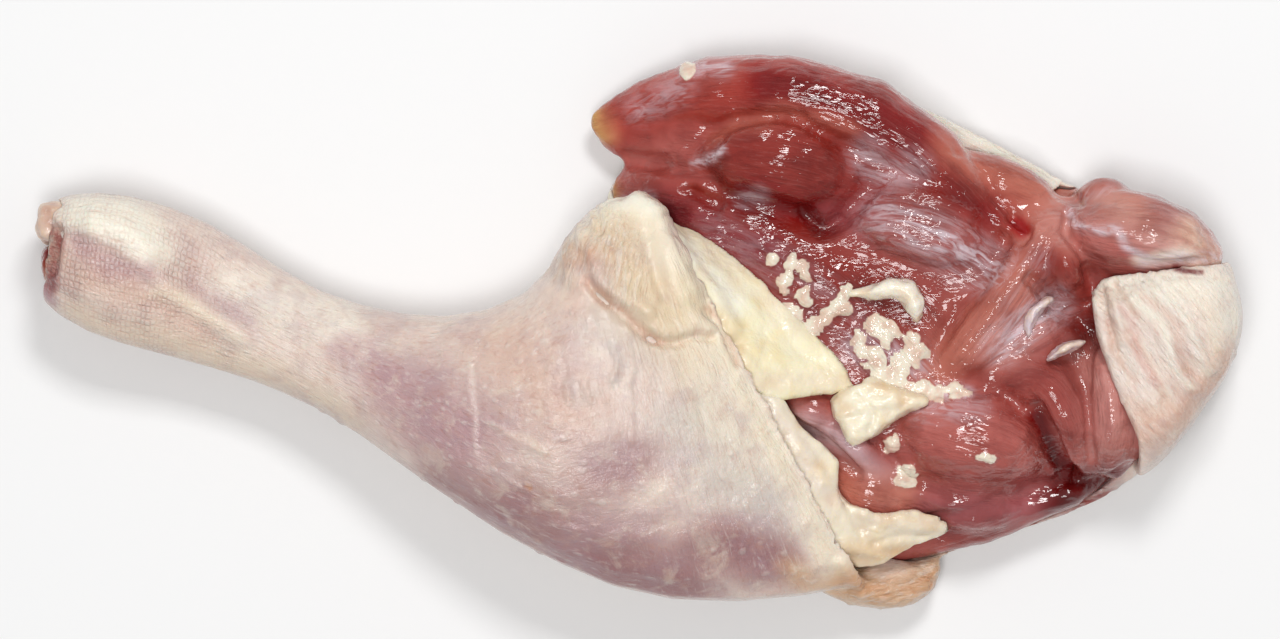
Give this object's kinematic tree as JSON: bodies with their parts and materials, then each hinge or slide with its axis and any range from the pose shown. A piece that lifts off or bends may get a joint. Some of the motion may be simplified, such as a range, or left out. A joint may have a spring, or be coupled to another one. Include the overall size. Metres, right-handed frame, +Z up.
{
  "type": "raw duck leg",
  "caption": "Raw duck leg: drumstick in its skin, opened thigh lying flesh side up with the skin under it and folded over the hip end.",
  "frame": {"origin": "under the middle of the leg's box, on the plane that it lies on", "axes": "+X runs from the hock to the hip, +Y across the thigh towards its free flap, +Z up out of the flesh side"},
  "size_m": [0.2538, 0.1176, 0.041],
  "materials": {
    "skin": "damp",
    "meat": "wet",
    "fat": "damp",
    "gristle": "wet",
    "tendon": "wet"
  },
  "bodies": {
    "root": {"skin": "skin", "meat": "meat", "hock_knuckle": "gristle", "fat_tongue": "fat", "fat_flap": "fat", "fat_collar": "fat", "fat_curl": "fat", "tendon_upper": "tendon", "tendon_lower": "tendon"}
  },
  "joints": []
}
